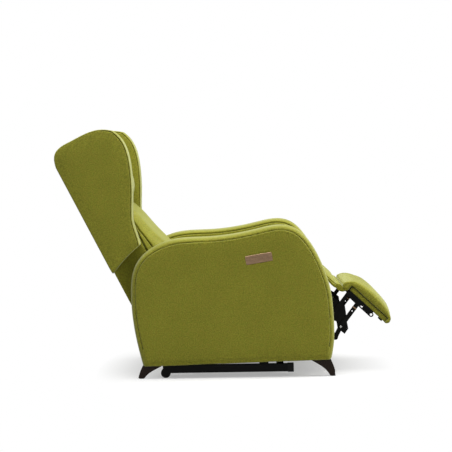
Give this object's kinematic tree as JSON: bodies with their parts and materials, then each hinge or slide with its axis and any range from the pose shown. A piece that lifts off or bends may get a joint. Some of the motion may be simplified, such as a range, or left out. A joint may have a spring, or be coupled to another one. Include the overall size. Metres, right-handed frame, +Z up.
{
  "type": "power recliner chair",
  "caption": "Upholstered wing recliner with powered back and footrest, scissor linkage, bridge flap, wooden feet, base rails and a side control plate.",
  "frame": {"origin": "centre of the bounding box's base, on the floor", "axes": "+X forward to the footrest, +Y to the sitter's left, +Z up"},
  "size_m": [1.3199, 0.7648, 0.9785],
  "materials": {
    "felt": "wool felt",
    "wenge": "dark satin stain",
    "glide_felt": "pressed felt",
    "black_steel": "semi-gloss powder coat",
    "frame_wood": "raw plywood",
    "black_plastic": "fine texture",
    "zinc": "zinc plated",
    "roller_rubber": "smooth",
    "bumper_rubber": "smooth",
    "webbing": "woven elastic",
    "copper": "brushed copper tone"
  },
  "bodies": {
    "base": {"arm_body_left": "felt", "arm_body_right": "felt", "arm_brackets": "black_steel", "arm_panel_left": "felt", "arm_panel_right": "felt", "base_cross_frame": "black_steel", "base_rail_left": "black_steel", "base_rail_right": "black_steel", "drive_motor": "black_plastic", "drive_rail": "zinc", "foot_front_left": "wenge", "foot_front_right": "wenge", "foot_glides": "glide_felt", "foot_rear_left": "wenge", "foot_rear_right": "wenge", "hinge_pins": "zinc", "power_box": "black_plastic", "rail_end_caps": "black_plastic", "roller_brackets": "black_steel", "seat_cross_tubes": "black_steel", "seat_cushion": "felt", "seat_front_rail": "frame_wood", "seat_rail_left": "black_steel", "seat_rail_right": "black_steel", "seat_webbing": "webbing", "side_plate_left": "black_steel", "side_plate_right": "black_steel", "switch_housing": "black_plastic", "switch_plate": "copper"},
    "back": {"back_bracket_left": "black_steel", "back_bracket_right": "black_steel", "back_post_left": "frame_wood", "back_post_right": "frame_wood", "wing_left": "felt", "wing_right": "felt", "back_rails": "frame_wood", "back_cover": "felt", "lumbar_cushion": "felt", "head_cushion": "felt"},
    "front_links": {"front_link_left": "black_steel", "front_link_right": "black_steel", "torque_tube": "black_steel"},
    "rear_links": {"rear_link_left": "black_steel", "rear_link_right": "black_steel"},
    "long_links": {"long_link_left": "black_steel", "long_link_right": "black_steel"},
    "upper_links": {"upper_link_left": "black_steel", "upper_link_right": "black_steel"},
    "footrest": {"footrest_bracket_left": "black_steel", "footrest_bracket_right": "black_steel", "footrest_board": "frame_wood", "footrest_pad": "felt", "footrest_bumpers": "bumper_rubber"},
    "bridge_flap": {"flap_board": "frame_wood", "flap_pad": "felt"},
    "drive_carriage": {"drive_carriage": "black_plastic"},
    "roller_left": {"roller_left": "roller_rubber"},
    "roller_right": {"roller_right": "roller_rubber"},
    "button_open": {"button_open": "copper"},
    "button_close": {"button_close": "copper"}
  },
  "joints": [
    {"name": "back_recline", "type": "hinge", "parent": "base", "child": "back", "pos_m": [-0.177, 0, 0.35], "axis": [0, -1, 0], "range_deg": [-15, 12]},
    {"name": "front_link", "type": "hinge", "parent": "base", "child": "front_links", "pos_m": [0.3417, 0, 0.3353], "axis": [0, -1, 0], "range_deg": [-45.4, 36.3]},
    {"name": "rear_link", "type": "hinge", "parent": "base", "child": "rear_links", "pos_m": [0.3199, 0, 0.2881], "axis": [0, -1, 0], "range_deg": [-45.8, 36.7]},
    {"name": "long_link", "type": "hinge", "parent": "front_links", "child": "long_links", "pos_m": [0.4575, 0, 0.18], "axis": [0, -1, 0], "range_deg": [-39.7, 49.6]},
    {"name": "upper_link", "type": "hinge", "parent": "front_links", "child": "upper_links", "pos_m": [0.4189, 0, 0.2198], "axis": [0, -1, 0], "range_deg": [-39.9, 49.9]},
    {"name": "footrest", "type": "hinge", "parent": "long_links", "child": "footrest", "pos_m": [0.5285, 0, 0.274], "axis": [0, -1, 0], "range_deg": [-50.3, 40.3]},
    {"name": "bridge_flap", "type": "hinge", "parent": "base", "child": "bridge_flap", "pos_m": [0.3645, 0, 0.424], "axis": [0, -1, 0], "range_deg": [-48.2, 38.6]},
    {"name": "drive_carriage", "type": "slide", "parent": "base", "child": "drive_carriage", "axis": [1, 0, 0], "range_m": [-0.0424, 0.034]},
    {"name": "roller_left", "type": "hinge", "parent": "base", "child": "roller_left", "pos_m": [-0.237, 0.34, 0.02], "axis": [0, 1, 0], "continuous": true},
    {"name": "roller_right", "type": "hinge", "parent": "base", "child": "roller_right", "pos_m": [-0.237, -0.34, 0.02], "axis": [0, 1, 0], "continuous": true},
    {"name": "button_open", "type": "slide", "parent": "base", "child": "button_open", "axis": [0, 1, 0], "range_m": [0, 0.0015], "stiffness_N_per_m": 400, "springref_m": -0.0008},
    {"name": "button_close", "type": "slide", "parent": "base", "child": "button_close", "axis": [0, 1, 0], "range_m": [0, 0.0015], "stiffness_N_per_m": 400, "springref_m": -0.0008}
  ],
  "couplings": [
    {"joint": "front_link", "follows": "back_recline", "ratio": 3.02},
    {"joint": "long_link", "follows": "back_recline", "ratio": -3.3},
    {"joint": "footrest", "follows": "back_recline", "ratio": 3.35},
    {"joint": "upper_link", "follows": "back_recline", "ratio": -3.32},
    {"joint": "rear_link", "follows": "back_recline", "ratio": 3.05},
    {"joint": "bridge_flap", "follows": "back_recline", "ratio": 3.21},
    {"joint": "drive_carriage", "follows": "back_recline", "m_per_rad": 0.161}
  ]
}
